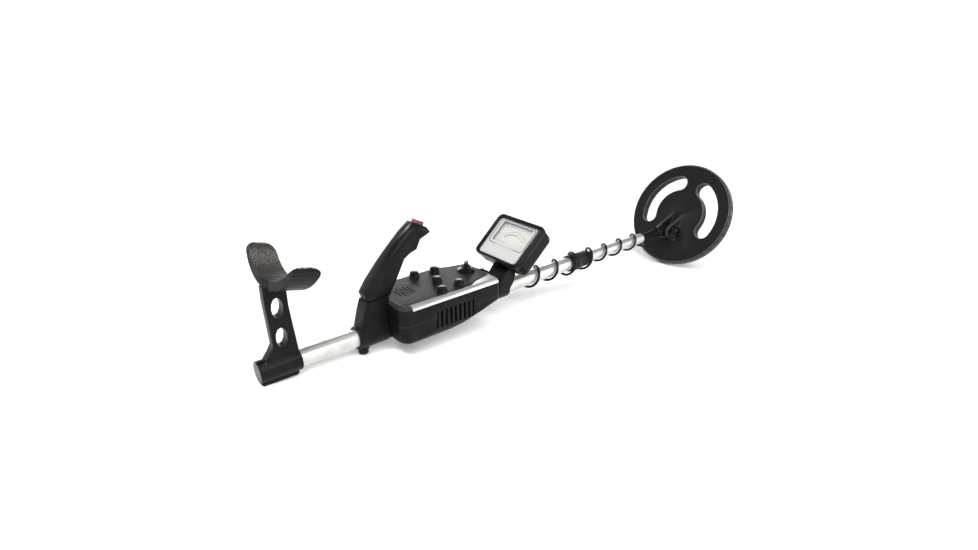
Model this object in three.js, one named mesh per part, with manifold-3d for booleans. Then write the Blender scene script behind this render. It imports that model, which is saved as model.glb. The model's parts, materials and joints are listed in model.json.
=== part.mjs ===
// A hand-held metal detector: an arm rest, a pistol grip, a control box, a tilted meter head, a telescopic
// stem and a flat search coil on a clevis. Millimetres, +Z up.
//
// Everything is laid out in the shaft's own frame: +X runs forward along the shaft's axis from the rear end
// of the upper tube, +Y is the user's left, +Z is up. The outer group tips that frame so that the rear foot
// and the coil's rim stand on the floor, and puts the origin under the middle of the object.
import * as THREE from "three";
import { mergeVertices } from "three/addons/utils/BufferGeometryUtils.js";
import Module from "manifold-3d";

const wasm = await Module();
wasm.setup();

// ---- driving dimensions -------------------------------------------------------------------------------
const gap = 0.3; // left between pieces that touch
const shaft = { radius: 11, wall: 1.2, front: 540 };
const stem = { radius: 9, wall: 1, rear: 330, front: 703 };
const sleeve = { radius: 13, rear: -4, front: 44, keel: -12.9, footBottom: -14.9, footHalf: 8 };
const strut = { half: 6.5, holeX: 26, holeZ: [36, 72], holeWidth: 13, holeHeight: 25 };
const cuff = { x: 48.5, z: 149.5, outer: 59.5, inner: 58, lift: 9, sweep: 1.25, length: 32, tipZ: -22 };
const cuffTurn = { tilt: 0.28, yaw: 0.1 }; // the cup slopes down to the front and faces a little outwards
const box = { rear: 157, front: 313, half: 45, floor: -9, seam: 16, rim: 36, panel: 42, wall: 2.5 };
const spine = { radius: 14.2 };
const panel = { thick: 2, half: 40, frontHalf: 25, rear: 163, front: 309 };
const base = { rear: 115.5, radius: 15, half: 11.5 };
const clampKnob = { x: 124.5, top: -16.5, bottom: -23, radius: 6.5 };
const meter = { x: 366.8, z: 71, lean: 0.735, half: 47.5, low: -35, high: 38, depth: 27 };
const facePlate = { width: 79, height: 62.5 };
const dial = { up: 10.5, width: 62, height: 34 };
const collar = { rear: 336, front: 360, radius: 15 };
const lock = { rear: 501, mid: 513, front: 552, radius: 13.4, frontRadius: 10.4 };
const coil = { x: 825.5, z: 25, tilt: 1.12, radius: 100, thick: 17, slotIn: 48, slotOut: 77 };
const slotEnds = { left: [0.34, 1.84], right: [-1.93, -0.52] }; // turned from the coil's forward axis
const pivot = { x: 784, radius: 9 };
const ear = { inner: 8.3, outer: 11.8 };
const rod = { rear: 700, ring: 752, radius: 7.2, ringRadius: 10 };
const cable = { radius: 2, sides: 8, slack: 1.2, start: 398, split: 556, end: 696 };
const winding = { pitch: 41.6, firstTop: 429 };
const floorTilt = 0.0709; // how far the shaft is tipped for the foot and the rim to stand on one floor

// ---- making and joining closed meshes -----------------------------------------------------------------
function toSolid(geometry) {
  const bare = geometry.clone();
  for (const name of ["normal", "uv"]) bare.deleteAttribute(name);
  const merged = mergeVertices(bare, 1e-4);
  return new wasm.Manifold(
    new wasm.Mesh({
      numProp: 3,
      vertProperties: merged.attributes.position.array,
      triVerts: new Uint32Array(merged.index.array),
    }),
  );
}

function toGeometry(solid) {
  const mesh = solid.getMesh();
  const geometry = new THREE.BufferGeometry();
  geometry.setAttribute("position", new THREE.BufferAttribute(mesh.vertProperties, 3));
  geometry.setIndex(new THREE.BufferAttribute(mesh.triVerts, 1));
  return geometry;
}

const combine = (how) => (first, ...rest) =>
  toGeometry(rest.reduce((solid, other) => solid[how](toSolid(other)), toSolid(first)));
const join = combine("add");
const cut = combine("subtract");
const common = combine("intersect");

// Turns a shape made in the XY plane and extruded along Z so that it is extruded along the named axis.
// Outlines are given as (y, z) for "x", (x, z) for "y" and (x, y) for "z".
const facing = {
  x: new THREE.Matrix4().set(0, 0, 1, 0, 1, 0, 0, 0, 0, 1, 0, 0, 0, 0, 0, 1),
  y: new THREE.Matrix4().set(1, 0, 0, 0, 0, 0, -1, 0, 0, 1, 0, 0, 0, 0, 0, 1),
  z: new THREE.Matrix4(),
};

// An outline pushed along an axis between two stations, with its edges bevelled where bevel is over 0.
function prism(axis, shape, from, to, { bevel = 0, curve = 2 } = {}) {
  const geometry = new THREE.ExtrudeGeometry(shape, {
    depth: to - from - 2 * bevel,
    bevelEnabled: bevel > 0,
    bevelThickness: bevel,
    bevelSize: bevel,
    bevelOffset: -bevel,
    bevelSegments: 2,
    curveSegments: curve,
  });
  geometry.translate(0, 0, axis === "y" ? -to + bevel : from + bevel);
  return geometry.applyMatrix4(facing[axis]);
}

// A closed outline through corner points; a corner [a, b, t] is rounded by an arc that starts and ends at
// the distance t from it.
function outline(corners) {
  const shape = new THREE.Shape();
  const at = (i) => new THREE.Vector2(...corners[(i + corners.length) % corners.length].slice(0, 2));
  corners.forEach(([a, b, t = 0], i) => {
    if (t === 0) {
      shape[i === 0 ? "moveTo" : "lineTo"](a, b);
      return;
    }
    const back = at(i - 1).sub(at(i)).normalize();
    const ahead = at(i + 1).sub(at(i)).normalize();
    const half = Math.acos(back.dot(ahead)) / 2;
    const centre = back.clone().add(ahead).setLength(t / Math.cos(half)).add(at(i));
    const start = back.clone().multiplyScalar(t).add(at(i)).sub(centre);
    const end = ahead.clone().multiplyScalar(t).add(at(i)).sub(centre);
    const clockwise = back.cross(ahead) > 0;
    shape.absarc(centre.x, centre.y, t * Math.tan(half), start.angle(), end.angle(), clockwise);
  });
  shape.closePath();
  return shape;
}

const rectangle = (a0, b0, a1, b1, r = 0) =>
  outline([[a0, b0, r], [a1, b0, r], [a1, b1, r], [a0, b1, r]]);

function disc(radius, a = 0, b = 0, hole = 0) {
  const shape = new THREE.Shape().absarc(a, b, radius, 0, 2 * Math.PI);
  if (hole > 0) shape.holes.push(new THREE.Path().absarc(a, b, hole, 0, 2 * Math.PI));
  return shape;
}

const block = (x0, x1, y0, y1, z0, z1) => prism("z", rectangle(x0, y0, x1, y1), z0, z1);
const rodAlong = (axis, radius, from, to, a = 0, b = 0, curve = 8) =>
  prism(axis, disc(radius, a, b), from, to, { curve });
const pipeAlong = (axis, outer, inner, from, to, a = 0, b = 0, curve = 8) =>
  prism(axis, disc(outer, a, b, inner), from, to, { curve });

// A turned piece standing on (x, y, z) with its axis along +Z; the profile is a list of [radius, height].
function turned(profile, x = 0, y = 0, z = 0, sides = 24) {
  const points = profile.map(([radius, height]) => new THREE.Vector2(radius, height));
  return new THREE.LatheGeometry(points, sides).rotateX(Math.PI / 2).translate(x, y, z);
}

// A star knob's outline: round with shallow lobes.
function lobed(radius, depth, lobes, a = 0, b = 0) {
  const count = Math.max(lobes * 4, 6);
  const points = Array.from({ length: count }, (_, i) => {
    const angle = (2 * Math.PI * i) / count;
    const r = radius - (depth * (1 - Math.cos(lobes * angle))) / 2;
    return new THREE.Vector2(a + r * Math.cos(angle), b + r * Math.sin(angle));
  });
  return new THREE.Shape(points);
}

// A round cord through hand-placed or computed points.
function cord(points, steps) {
  const path = new THREE.CatmullRomCurve3(points.map((p) => new THREE.Vector3(...p)));
  const section = new THREE.Shape(
    Array.from({ length: cable.sides }, (_, i) => {
      const angle = (2 * Math.PI * i) / cable.sides;
      return new THREE.Vector2(cable.radius * Math.cos(angle), cable.radius * Math.sin(angle));
    }),
  );
  return new THREE.ExtrudeGeometry(section, { steps, extrudePath: path, bevelEnabled: false });
}

// ---- materials ----------------------------------------------------------------------------------------
const finish = (color, roughness, metalness = 0) => () =>
  new THREE.MeshStandardMaterial({ color, roughness, metalness });
const blackPlastic = finish(0x17181a, 0.5);
const softBlack = finish(0x121315, 0.7);
const panelGrey = finish(0x2b2c2c, 0.55);
const silverPaint = finish(0xcfcfca, 0.35, 0.3);
const aluminium = finish(0xc3c8c6, 0.3, 0.9);
const redPlastic = finish(0x9c1d18, 0.4);
const steel = finish(0xa9a9a6, 0.3, 1);
const brass = finish(0xb8964a, 0.35, 1);
const circuitGreen = finish(0x2b5a35, 0.5);
const clearLens = finish(0xe8edf0, 0.05);
const dialWhite = finish(0xe9e7da, 0.6);
const copper = finish(0xa8592c, 0.4, 0.8);
const batteryShell = finish(0x37404a, 0.4);

const detector = new THREE.Group();
function add(parent, name, geometry, material) {
  const mesh = new THREE.Mesh(geometry, material());
  mesh.name = name;
  parent.add(mesh);
  return mesh;
}

// ---- arm rest -----------------------------------------------------------------------------------------
const shaftBore = (from, to) => rodAlong("x", shaft.radius + gap, from, to);

// The cup's wall is thicker at the bottom, because its inner arc has its centre higher than the outer one.
function cuffBand() {
  const [left, right] = [Math.PI * 1.5 + cuff.sweep, Math.PI * 1.5 - cuff.sweep];
  const arc = new THREE.Shape();
  arc.absarc(0, 0, cuff.outer, right, left);
  arc.absarc(0, cuff.lift, cuff.inner, left, right, true);
  arc.closePath();
  const band = prism("x", arc, -cuff.length, cuff.length, { curve: 10 });
  const half = cuff.length / 2;
  const side = outline([
    [-half, -cuff.outer - 1], [half, -cuff.outer - 1], [half, cuff.tipZ, 10], [-half, cuff.tipZ, 10],
  ]);
  return common(band, prism("y", side, -cuff.outer - 1, cuff.outer + 1))
    .rotateY(cuffTurn.tilt)
    .rotateZ(cuffTurn.yaw)
    .translate(cuff.x, 0, cuff.z);
}

function strutWeb() {
  return outline([
    [3, 8], [6, 14], [10.5, 19.5], [15.5, 28], [13.5, 81], [14, 99], [39, 92], [38.8, 72], [43, 14], [43, 8],
  ]);
}

function armRest() {
  const holes = strut.holeZ.map((z) => {
    const oval = new THREE.Shape().absellipse(
      strut.holeX, z, strut.holeWidth / 2, strut.holeHeight / 2, 0, 2 * Math.PI);
    return prism("y", oval, -20, 20, { curve: 6 });
  });
  const body = join(
    prism("x", disc(sleeve.radius), sleeve.rear, sleeve.front, { bevel: 1, curve: 10 }),
    block(sleeve.rear + 1, 39, -sleeve.footHalf, sleeve.footHalf, sleeve.keel, 0),
    prism("y", strutWeb(), -strut.half, strut.half, { bevel: 1.5 }),
    cuffBand(),
  );
  return cut(
    body, shaftBore(-gap, sleeve.front + 1), ...holes,
    block(sleeve.rear - 1, sleeve.front + 1, -20, 20, -20, sleeve.keel),
  );
}

// A soft pad under the sleeve's keel, its ends rounded up.
function rearFoot() {
  const top = sleeve.keel - gap;
  return prism(
    "y",
    outline([
      [sleeve.rear + 1, top], [39, top], [37.5, sleeve.footBottom, 0.8],
      [sleeve.rear + 3, sleeve.footBottom, 0.8],
    ]),
    -sleeve.footHalf, sleeve.footHalf,
  );
}

add(detector, "arm_rest", armRest(), blackPlastic);
add(detector, "rear_foot", rearFoot(), softBlack);

// ---- tubes and the telescopic lock --------------------------------------------------------------------
add(
  detector, "upper_tube",
  pipeAlong("x", shaft.radius, shaft.radius - shaft.wall, 0, shaft.front), aluminium,
);
add(
  detector, "stem_tube",
  pipeAlong("x", stem.radius, stem.radius - stem.wall, stem.rear, stem.front), aluminium,
);

// The guide bush plugs the stem's hidden end and runs in the upper tube.
const bushRadius = shaft.radius - shaft.wall - gap;
add(
  detector, "stem_bush",
  join(
    rodAlong("x", bushRadius, stem.rear - 8, stem.rear - gap),
    rodAlong("x", stem.radius - stem.wall - gap, stem.rear - 1, stem.rear + 14),
  ),
  softBlack,
);

// A turned shape around the shaft's axis, its profile given as [radius, x].
const turnedOnShaft = (profile, sides = 24) =>
  new THREE.LatheGeometry(profile.map(([r, x]) => new THREE.Vector2(r, x)), sides)
    .rotateX(Math.PI / 2)
    .applyMatrix4(facing.x);

function lockBody() {
  const bore = shaft.radius + gap;
  const barrel = bore + 1.2;
  const lip = stem.radius + gap;
  return turnedOnShaft([
    [bore, lock.rear], [lock.radius, lock.rear], [lock.radius, lock.mid], [barrel, lock.mid],
    [barrel, shaft.front + 6], [lip, shaft.front + 6], [lip, shaft.front + gap], [bore, shaft.front + gap],
    [bore, lock.rear],
  ]);
}

function lockCollar() {
  const barrel = shaft.radius + gap + 1.2 + gap;
  const lip = stem.radius + gap;
  return turnedOnShaft([
    [barrel, lock.mid + gap], [lock.radius + 0.8, lock.mid + gap], [lock.radius + 0.8, lock.mid + 6],
    [lock.frontRadius + 0.6, lock.front], [lip, lock.front], [lip, shaft.front + 6 + gap],
    [barrel, shaft.front + 6 + gap], [barrel, lock.mid + gap],
  ]);
}

add(detector, "stem_lock_body", lockBody(), blackPlastic);
add(detector, "stem_lock_collar", lockCollar(), softBlack);

// ---- handle -------------------------------------------------------------------------------------------
// The grip leans forward over the control box: its rear line is a long bow, its front has one finger hook.
const gripCorners = [
  [131.5, 47], [128.5, 56], [137.5, 69], [147.5, 80.5], [157.5, 91.5], [166.5, 100.5], [178.5, 112],
  [190, 122.5], [203, 132.5], [220.5, 124], [225.3, 117.2], [209.3, 110.2], [203.3, 98.2], [193.3, 95.2],
  [185.3, 90.2], [173.3, 67.2], [161.3, 47],
];
const gripPocket = [
  [138, 36], [138, 52], [147, 68], [167, 95], [186, 112], [196, 119.5], [204, 121.5], [210.5, 118],
  [203.5, 107], [198, 102], [186, 96.5], [172, 74], [159, 52], [159, 36],
];
const gripHalf = 12.5;
const gripTop = new THREE.Vector2(203, 132.5).sub(new THREE.Vector2(220.5, 124));
const buttonSeat = { x: 211.5, z: 128.4, turn: Math.PI - gripTop.angle(), length: 16, width: 10 };

// A piece made upright at the origin and set on the grip's sloping top.
const onGripTop = (geometry) => geometry.rotateY(buttonSeat.turn).translate(buttonSeat.x, 0, buttonSeat.z);
const buttonPill = (grow, from, to) =>
  prism(
    "z",
    rectangle(
      -buttonSeat.length / 2 - grow, -buttonSeat.width / 2 - grow,
      buttonSeat.length / 2 + grow, buttonSeat.width / 2 + grow, 4,
    ),
    from, to,
  );

function gripShell(side) {
  const full = prism("y", outline(gripCorners), -gripHalf, gripHalf, { bevel: 5 });
  const pocket = prism("y", outline(gripPocket), -gripHalf + 3, gripHalf - 3);
  const otherHalf = side > 0 ? block(90, 260, -30, gap / 2, 0, 200) : block(90, 260, -gap / 2, 30, 0, 200);
  return cut(full, pocket, onGripTop(buttonPill(0.5, -12, 6)), otherHalf, boxEnvelope(gap));
}

function handleBase() {
  const column = outline([[117.5, 6], [125, 34], [131, 51], [162, 51], [159, 42], [158, 6]]);
  const tenon = outline([[138.5, 32], [138.5, 51.5], [143, 59], [158, 59], [158, 32]]);
  const aboveGripEdge = outline([[122, 60], [122, 46.7], [190, 46.7], [190, 90], [122, 90]]);
  const body = join(
    prism("x", disc(base.radius), base.rear, box.rear - gap, { bevel: 1, curve: 10 }),
    cut(
      prism("y", column, -base.half, base.half, { bevel: 2 }),
      prism("y", aboveGripEdge, -30, 30),
    ),
    prism("y", tenon, -gripHalf + 3 + gap, gripHalf - 3 - gap),
    rodAlong("z", clampKnob.radius + 1.5, clampKnob.top, -10, clampKnob.x, 0, 6),
  );
  return cut(
    body,
    shaftBore(100, 170),
    rodAlong("z", 3 + gap, -30, -8, clampKnob.x, 0, 5),
    boxEnvelope(gap),
  );
}

function clampScrew() {
  const grip = prism(
    "z", lobed(clampKnob.radius, 0.7, 8, clampKnob.x, 0), clampKnob.bottom, clampKnob.top - gap);
  return join(grip, rodAlong("z", 3, clampKnob.top - 1, -11 - 2 * gap, clampKnob.x, 0, 6));
}

function boxEnvelope(grow) {
  const plan = outline([
    [box.rear - grow, -box.half, 14], [box.front + 5, -box.half, 5], [box.front + 5, box.half, 5],
    [box.rear - grow, box.half, 14],
  ]);
  return prism("z", plan, box.floor - 1, box.panel + grow);
}

add(detector, "handle_base", handleBase(), blackPlastic);
add(detector, "grip_left", gripShell(1), blackPlastic);
add(detector, "grip_right", gripShell(-1), blackPlastic);
add(detector, "clamp_knob", clampScrew(), softBlack);

// The button is a pill with a stalk that works the switch through a light spring.
add(
  detector, "grip_button",
  onGripTop(join(buttonPill(0, -2.5, 4.5), rodAlong("z", 2, -8, -2, 0, 0, 5))), redPlastic,
);
add(detector, "button_spring", onGripTop(pipeAlong("z", 4, 2.8, -9.5, -2.8, 0, 0, 5)), steel);
add(
  detector, "button_switch",
  onGripTop(block(-5, 3, -4.5, 4.5, -13, -9.8)), softBlack,
);

// ---- control box --------------------------------------------------------------------------------------
const planCorners = (inset, rearCut = 0) => outline([
  [box.rear + inset + rearCut, -box.half + inset, 14 - inset],
  [box.front - inset, -box.half + inset, 6 - inset / 2],
  [box.front - inset, box.half - inset, 6 - inset / 2],
  [box.rear + inset + rearCut, box.half - inset, 14 - inset],
]);

// The grey panel's outline: straight sides that step in near the front, where the silver trims widen.
const panelPlan = (grow = 0) => outline([
  [panel.rear - grow, -panel.half + 2 - grow, 9], [266, -panel.half + 1 - grow], [281, -31.5 - grow],
  [panel.front + grow, -panel.frontHalf - grow, 6], [panel.front + grow, panel.frontHalf + grow, 6],
  [281, 31.5 + grow], [266, panel.half - 1 + grow], [panel.rear - grow, panel.half - 2 + grow, 9],
]);

const vents = { count: 9, first: 207, pitch: 7.3, width: 3, low: 1, high: 24 };
function ventCutters() {
  return Array.from({ length: vents.count }, (_, i) => {
    const x = vents.first + i * vents.pitch;
    const half = vents.width / 2;
    return block(x - half, x + half, -box.half - 1, box.half + 1, vents.low, vents.high);
  });
}

// The vents go through the two side walls only: each cutter is split into its left and right ends.
function cutVents(shell) {
  const middle = block(180, 290, -box.half + box.wall + 0.5, box.half - box.wall - 0.5, -5, 40);
  const sides = [block(150, 320, 0, 60, -20, 60), block(150, 320, -60, 0, -20, 60)];
  return cut(shell, ...ventCutters().flatMap((slot) => sides.map((side) => cut(slot, middle, side))));
}

// The floor rises towards the front like a bow; everything outside this side outline is cut away.
const bowOutline = (lift) => outline([
  [box.rear - 1, box.floor + lift], [218, box.floor + lift], [250, -4 + lift], [282, 3.6 + lift],
  [307, 10.5 + lift], [box.front + 1, 13 + lift], [box.front + 1, 60], [box.rear - 1, 60],
]);
const bow = (lift = 0) => prism("y", bowOutline(lift), -box.half - 1, box.half + 1);

const door = { x0: 166, x1: 214, y0: 19, y1: 37, thick: 1.8 };
const doorHole = (side, grow) => block(
  door.x0 - grow, door.x1 + grow,
  Math.min(side * door.y0, side * door.y1) - grow, Math.max(side * door.y0, side * door.y1) + grow,
  box.floor - 1, box.floor + 4);

function housingLower() {
  const hull = prism("z", planCorners(0), box.floor, box.seam + 10, { bevel: 5 });
  const tray = cut(common(hull, bow()), block(140, 330, -60, 60, box.seam, 40));
  const room = common(
    prism("z", planCorners(box.wall), box.floor + box.wall, box.seam + 5, { curve: 3 }), bow(box.wall),
  );
  const body = join(cut(tray, room), rodAlong("x", spine.radius, box.rear + 0.5, box.front - 0.5));
  return cut(cutVents(body), shaftBore(140, 330), doorHole(1, 0.5), doorHole(-1, 0.5));
}

function boxTop() {
  const hull = prism("z", planCorners(0), box.floor, box.panel, { bevel: 5 });
  return cut(hull, block(140, 330, -60, 60, -30, box.seam + gap));
}
const trimZone = (side, grow) => {
  const band = block(
    172 - grow, box.front + 1, side > 0 ? 10 : -60, side > 0 ? 60 : -10, box.rim - grow, box.panel + 1);
  return cut(band, prism("z", panelPlan(gap - grow), 20, 60));
};
const trimCore = (grow) => prism("z", planCorners(1.3 - grow), 10, box.panel - 1.3 + grow, { bevel: 4.5 });

function trim(side) {
  return cut(common(boxTop(), trimZone(side, 0)), trimCore(gap));
}

function housingUpper() {
  const hull = boxTop();
  const underTrim = [1, -1].map((side) => cut(trimZone(side, gap), trimCore(0)));
  const room = prism("z", planCorners(box.wall), 10, box.panel - 5.5, { curve: 3 });
  const window = prism("z", panelPlan(-1.8), 20, 60);
  return cut(
    cutVents(hull), ...underTrim, room, window, prism("z", panelPlan(gap), box.panel - panel.thick - gap, 60),
    socketHole(), jackHole(),
  );
}

// Controls stand on the panel as [x, y]: four in two mirrored pairs, one on the middle line.
const smallKnobs = {
  knob_rear_left: [225, 33], knob_rear_right: [225, -31], knob_front_left: [255, 29],
  knob_front_right: [255, -27.5], knob_middle: [238, -1.5],
};
const selector = { x: 292.5, y: 5, turn: 0.86 };
const spindle = 4.5; // how far the controls' spindles stand above the panel
const shaftHole = ([x, y]) => rodAlong("z", 3 + gap, 20, 60, x, y, 4);

function controlPanel() {
  const plate = prism("z", panelPlan(), box.panel - panel.thick, box.panel);
  const grille = Array.from({ length: 5 }, (_, i) => {
    const x = 178 + i * 5;
    const half = 15 - Math.abs(i - 2) * 2.5;
    return block(x - 0.9, x + 0.9, -half, half, 20, 60);
  });
  const spindles = [...Object.values(smallKnobs), [selector.x, selector.y]];
  return cut(plate, ...spindles.map(shaftHole), ...grille);
}

// The board carries the controls' bodies, soldered on, with their spindles up through the panel.
function circuitBoard() {
  const board = block(216, 304, -22, 14, 29.5, 31.1);
  const wings = block(216, 270, -38, 38, 29.5, 31.1);
  const controls = [...Object.values(smallKnobs), [selector.x, selector.y]].flatMap(([x, y]) => [
    rodAlong("z", 7, 31, 36, x, y, 5), rodAlong("z", 3, 35, box.panel + spindle, x, y, 4),
  ]);
  return join(board, wings, ...controls);
}

function knob([x, y]) {
  const z = box.panel + 0.6;
  const body = turned([
    [0, z], [7.3, z], [7.3, z + 1.3], [5.9, z + 2], [5.5, z + 6], [4.6, z + 6.8], [0, z + 6.8],
  ], x, y, 0, 16);
  return cut(body, rodAlong("z", 3 + gap, z - 1, box.panel + spindle + gap, x, y, 4));
}

function selectorKnob() {
  const z = box.panel + 0.6;
  const skirt = turned(
    [[0, z], [12.3, z], [12.3, z + 1.2], [8, z + 2.8], [0, z + 2.8]], selector.x, selector.y);
  const ridge = prism("z", rectangle(-7.5, -2.8, 7.5, 2.8, 2.5), 0, 11.5).rotateZ(selector.turn)
    .translate(selector.x, selector.y, z);
  const barrel = rodAlong("z", 6, z, z + 7, selector.x, selector.y, 8);
  return cut(join(skirt, ridge, barrel),
    rodAlong("z", 3 + gap, z - 1, box.panel + spindle + gap, selector.x, selector.y, 5));
}

const speaker = { x: 188, radius: 19, top: 39 };
function speakerUnit() {
  const cone = [
    [0, -11], [9, -11], [9, -6], [speaker.radius, -2], [speaker.radius, 0], [17, 0], [5, -4], [0, -4],
  ];
  return turned(cone.map(([r, h]) => [r, h + speaker.top]), speaker.x, 0, 0, 16);
}

const socket = { y: 22.5, z: 23.7 };
const socketHole = () => rodAlong("x", 5 + gap, box.front - 6, box.front + 3, socket.y, socket.z, 6);
const jack = { y: 24, z: 28 };
const jackHole = () => rodAlong("x", 4 + gap, box.rear - 2, box.rear + 6, jack.y, jack.z, 6);
function coilSocket() {
  return cut(
    join(
      rodAlong("x", 5, box.front - 12, box.front + 1.5, socket.y, socket.z, 6),
      rodAlong("x", 7.5, box.front - 14, box.front - box.wall - gap, socket.y, socket.z, 6),
    ),
    rodAlong("x", 3.4, box.front - 9, box.front + 5, socket.y, socket.z, 5),
  );
}
function headphoneJack() {
  const face = box.rear + box.wall;
  return cut(
    join(
      rodAlong("x", 4, box.rear - 1, face + 8, jack.y, jack.z, 6),
      rodAlong("x", 6.5, face + gap, face + 14, jack.y, jack.z, 6),
    ),
    rodAlong("x", 2, box.rear - 3, face + 10, jack.y, jack.z, 4),
  );
}
const turnedAtSocket = (profile) => turnedOnShaft(profile, 16).translate(0, socket.y, socket.z);

function cablePlug() {
  const x = box.front;
  return turnedAtSocket([
    [0, x - 8], [3, x - 8], [3, x + 1.8], [7.2, x + 1.8], [7.2, x + 14], [5.2, x + 17],
    [3.6, x + 26], [0, x + 26],
  ]);
}

const batteryBox = (side) => {
  const [a, b] = [side * 19.5, side * 36.5].sort((p, q) => p - q);
  return prism("x", rectangle(a, box.floor + 3, b, box.floor + 3 + 26, 2), 166, 214);
};

add(detector, "housing_lower", housingLower(), blackPlastic);
add(detector, "housing_upper", housingUpper(), blackPlastic);
add(detector, "trim_left", trim(1), silverPaint);
add(detector, "trim_right", trim(-1), silverPaint);
add(detector, "control_panel", controlPanel(), panelGrey);
add(detector, "circuit_board", circuitBoard(), circuitGreen);
add(detector, "speaker", speakerUnit(), softBlack);
add(detector, "coil_socket", coilSocket(), brass);
add(detector, "headphone_jack", headphoneJack(), steel);
add(detector, "cable_plug", cablePlug(), softBlack);
for (const [side, word] of [[1, "left"], [-1, "right"]]) {
  add(detector, "battery_" + word, batteryBox(side), batteryShell);
  const [a, b] = [side * door.y0, side * door.y1].sort((p, q) => p - q);
  add(
    detector, "battery_door_" + word,
    block(door.x0, door.x1, a, b, box.floor, box.floor + door.thick), blackPlastic,
  );
}
for (const [name, place] of Object.entries(smallKnobs)) add(detector, name, knob(place), blackPlastic);
add(detector, "selector_knob", selectorKnob(), blackPlastic);

// ---- meter head ---------------------------------------------------------------------------------------
// Its own frame: +X up the face, +Y left, +Z out of the face towards the user.
const head = new THREE.Group();
head.position.set(meter.x, 0, meter.z);
head.rotation.y = -meter.lean;
detector.add(head);

const caseRim = -6; // height of the parting line between the case and the bezel
const faceOutline = (half, side, r) => rectangle(-half, -side, half, side, r);
const headOutline = (inset, r) =>
  rectangle(meter.low + inset, -meter.half + inset, meter.high - inset, meter.half - inset, r);
function meterCase() {
  const shell = prism(
    "z", headOutline(1, 9), -meter.depth, caseRim + 5, { bevel: 5 });
  const open = cut(shell, block(-60, 60, -60, 60, caseRim - gap, 10));
  return cut(open, prism("z", headOutline(4, 6), -meter.depth + 3, 10));
}
function meterBezel() {
  const rim = prism("z", headOutline(0, 9), caseRim - 4, 2.5, { bevel: 3 });
  const upper = cut(rim, block(-60, 60, -60, 60, -30, caseRim));
  return cut(
    upper,
    prism("z", faceOutline(facePlate.height / 2 + gap, facePlate.width / 2 + gap, 5), -1.8, 10),
    prism("z", faceOutline(facePlate.height / 2 - 3, facePlate.width / 2 - 3, 4), -30, 10),
  );
}
const windowOutline = (grow) => rectangle(
  dial.up - dial.height / 2 - grow, -dial.width / 2 - grow, dial.up + dial.height / 2 + grow,
  dial.width / 2 + grow, 3);

add(head, "meter_case", meterCase(), blackPlastic);
add(head, "meter_bezel", meterBezel(), blackPlastic);
add(
  head, "meter_faceplate",
  cut(
    prism("z", faceOutline(facePlate.height / 2, facePlate.width / 2, 5), -1.5, 0),
    prism("z", windowOutline(gap), -5, 5),
  ),
  silverPaint,
);
add(head, "meter_window", prism("z", windowOutline(0), -2.1, -0.9), clearLens);
add(
  head, "meter_dial",
  join(
    prism("z", windowOutline(4), -7.8, -7),
    block(-24, dial.up - dial.height / 2, -20, 20, -7.8, -7),
  ),
  dialWhite,
);
const needleRest = 0.85; // the pointer lies at the left end of its scale
add(
  head, "meter_movement",
  prism("z", rectangle(-24, -17, 6, 17, 3), -22, -8.1), softBlack,
);
add(
  head, "meter_needle",
  join(
    prism("z", outline([[-16, -0.9], [29 - 3, -0.35], [29 - 3, 0.35], [-16, 0.9]]), -4.9, -4.4),
    prism("z", disc(2.6, -12, 0), -6.7, -4.2),
  ).translate(12, 0, 0).rotateZ(needleRest).translate(-12, 0, 0),
  softBlack,
);

function meterNeck() {
  const web = outline([
    [354, 37], [346, 26.5], [338.5, 19], [338.5, 2], [359, 2], [366, 11], [369, 24], [362, 36],
  ]);
  const caseBlock = prism(
    "z", rectangle(meter.low + 1 - gap, -60, meter.high, 60, 4), -meter.depth - gap, 20,
  ).rotateY(-meter.lean).translate(meter.x, 0, meter.z);
  const body = join(
    prism("y", web, -16, 16, { bevel: 1.5 }),
    prism("x", disc(collar.radius), collar.rear, collar.front, { bevel: 1, curve: 10 }),
  );
  return cut(body, caseBlock, shaftBore(300, 400));
}
add(detector, "meter_neck", meterNeck(), blackPlastic);

// ---- rod end, clevis and coil -------------------------------------------------------------------------
function rodEnd() {
  const eye = rodAlong("y", pivot.radius, -6.6, 6.6, pivot.x, 0, 10);
  const neckLink = block(rod.ring, pivot.x, -6.6, 6.6, -7, 7);
  const body = join(
    rodAlong("x", stem.radius - stem.wall - gap, rod.rear - 18, rod.rear + 4, 0, 0, 10),
    rodAlong("x", stem.radius + 1.6, stem.front + gap, stem.front + 3.5, 0, 0, 10),
    rodAlong("x", rod.radius, stem.front + 3, rod.ring + 2, 0, 0, 10),
    rodAlong("x", rod.ringRadius, rod.ring, rod.ring + 3.5, 0, 0, 10),
    rodAlong("x", rod.ringRadius - 1.5, rod.ring + 8, rod.ring + 11, 0, 0, 10),
    eye, neckLink,
  );
  return cut(body, rodAlong("y", 3 + gap, -20, 20, pivot.x, 0, 6));
}
add(detector, "rod_end", rodEnd(), blackPlastic);
for (const [side, word] of [[1, "left"], [-1, "right"]]) {
  const [from, to] = [side * 6.9, side * (ear.inner - gap)].sort((p, q) => p - q);
  add(
    detector, "pivot_washer_" + word,
    pipeAlong("y", pivot.radius - 1, 3 + gap, from, to, pivot.x, 0, 8), softBlack,
  );
}

// The bolt's head sits on the left ear; the star knob is screwed on its right end.
add(
  detector, "pivot_bolt",
  join(
    rodAlong("y", 3, -20, ear.outer + 1, pivot.x, 0, 6),
    prism("y", lobed(6, 0, 1, pivot.x, 0), ear.outer + gap, ear.outer + 4.5),
  ),
  steel,
);
add(
  detector, "pivot_knob",
  cut(
    join(
      prism("y", lobed(10.5, 2.4, 6, pivot.x, 0), -27.5, -15.5),
      rodAlong("y", 6, -16, -ear.outer - gap, pivot.x, 0, 8),
    ),
    rodAlong("y", 3 + gap, -20 - gap, 0, pivot.x, 0, 6),
  ),
  softBlack,
);

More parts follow.
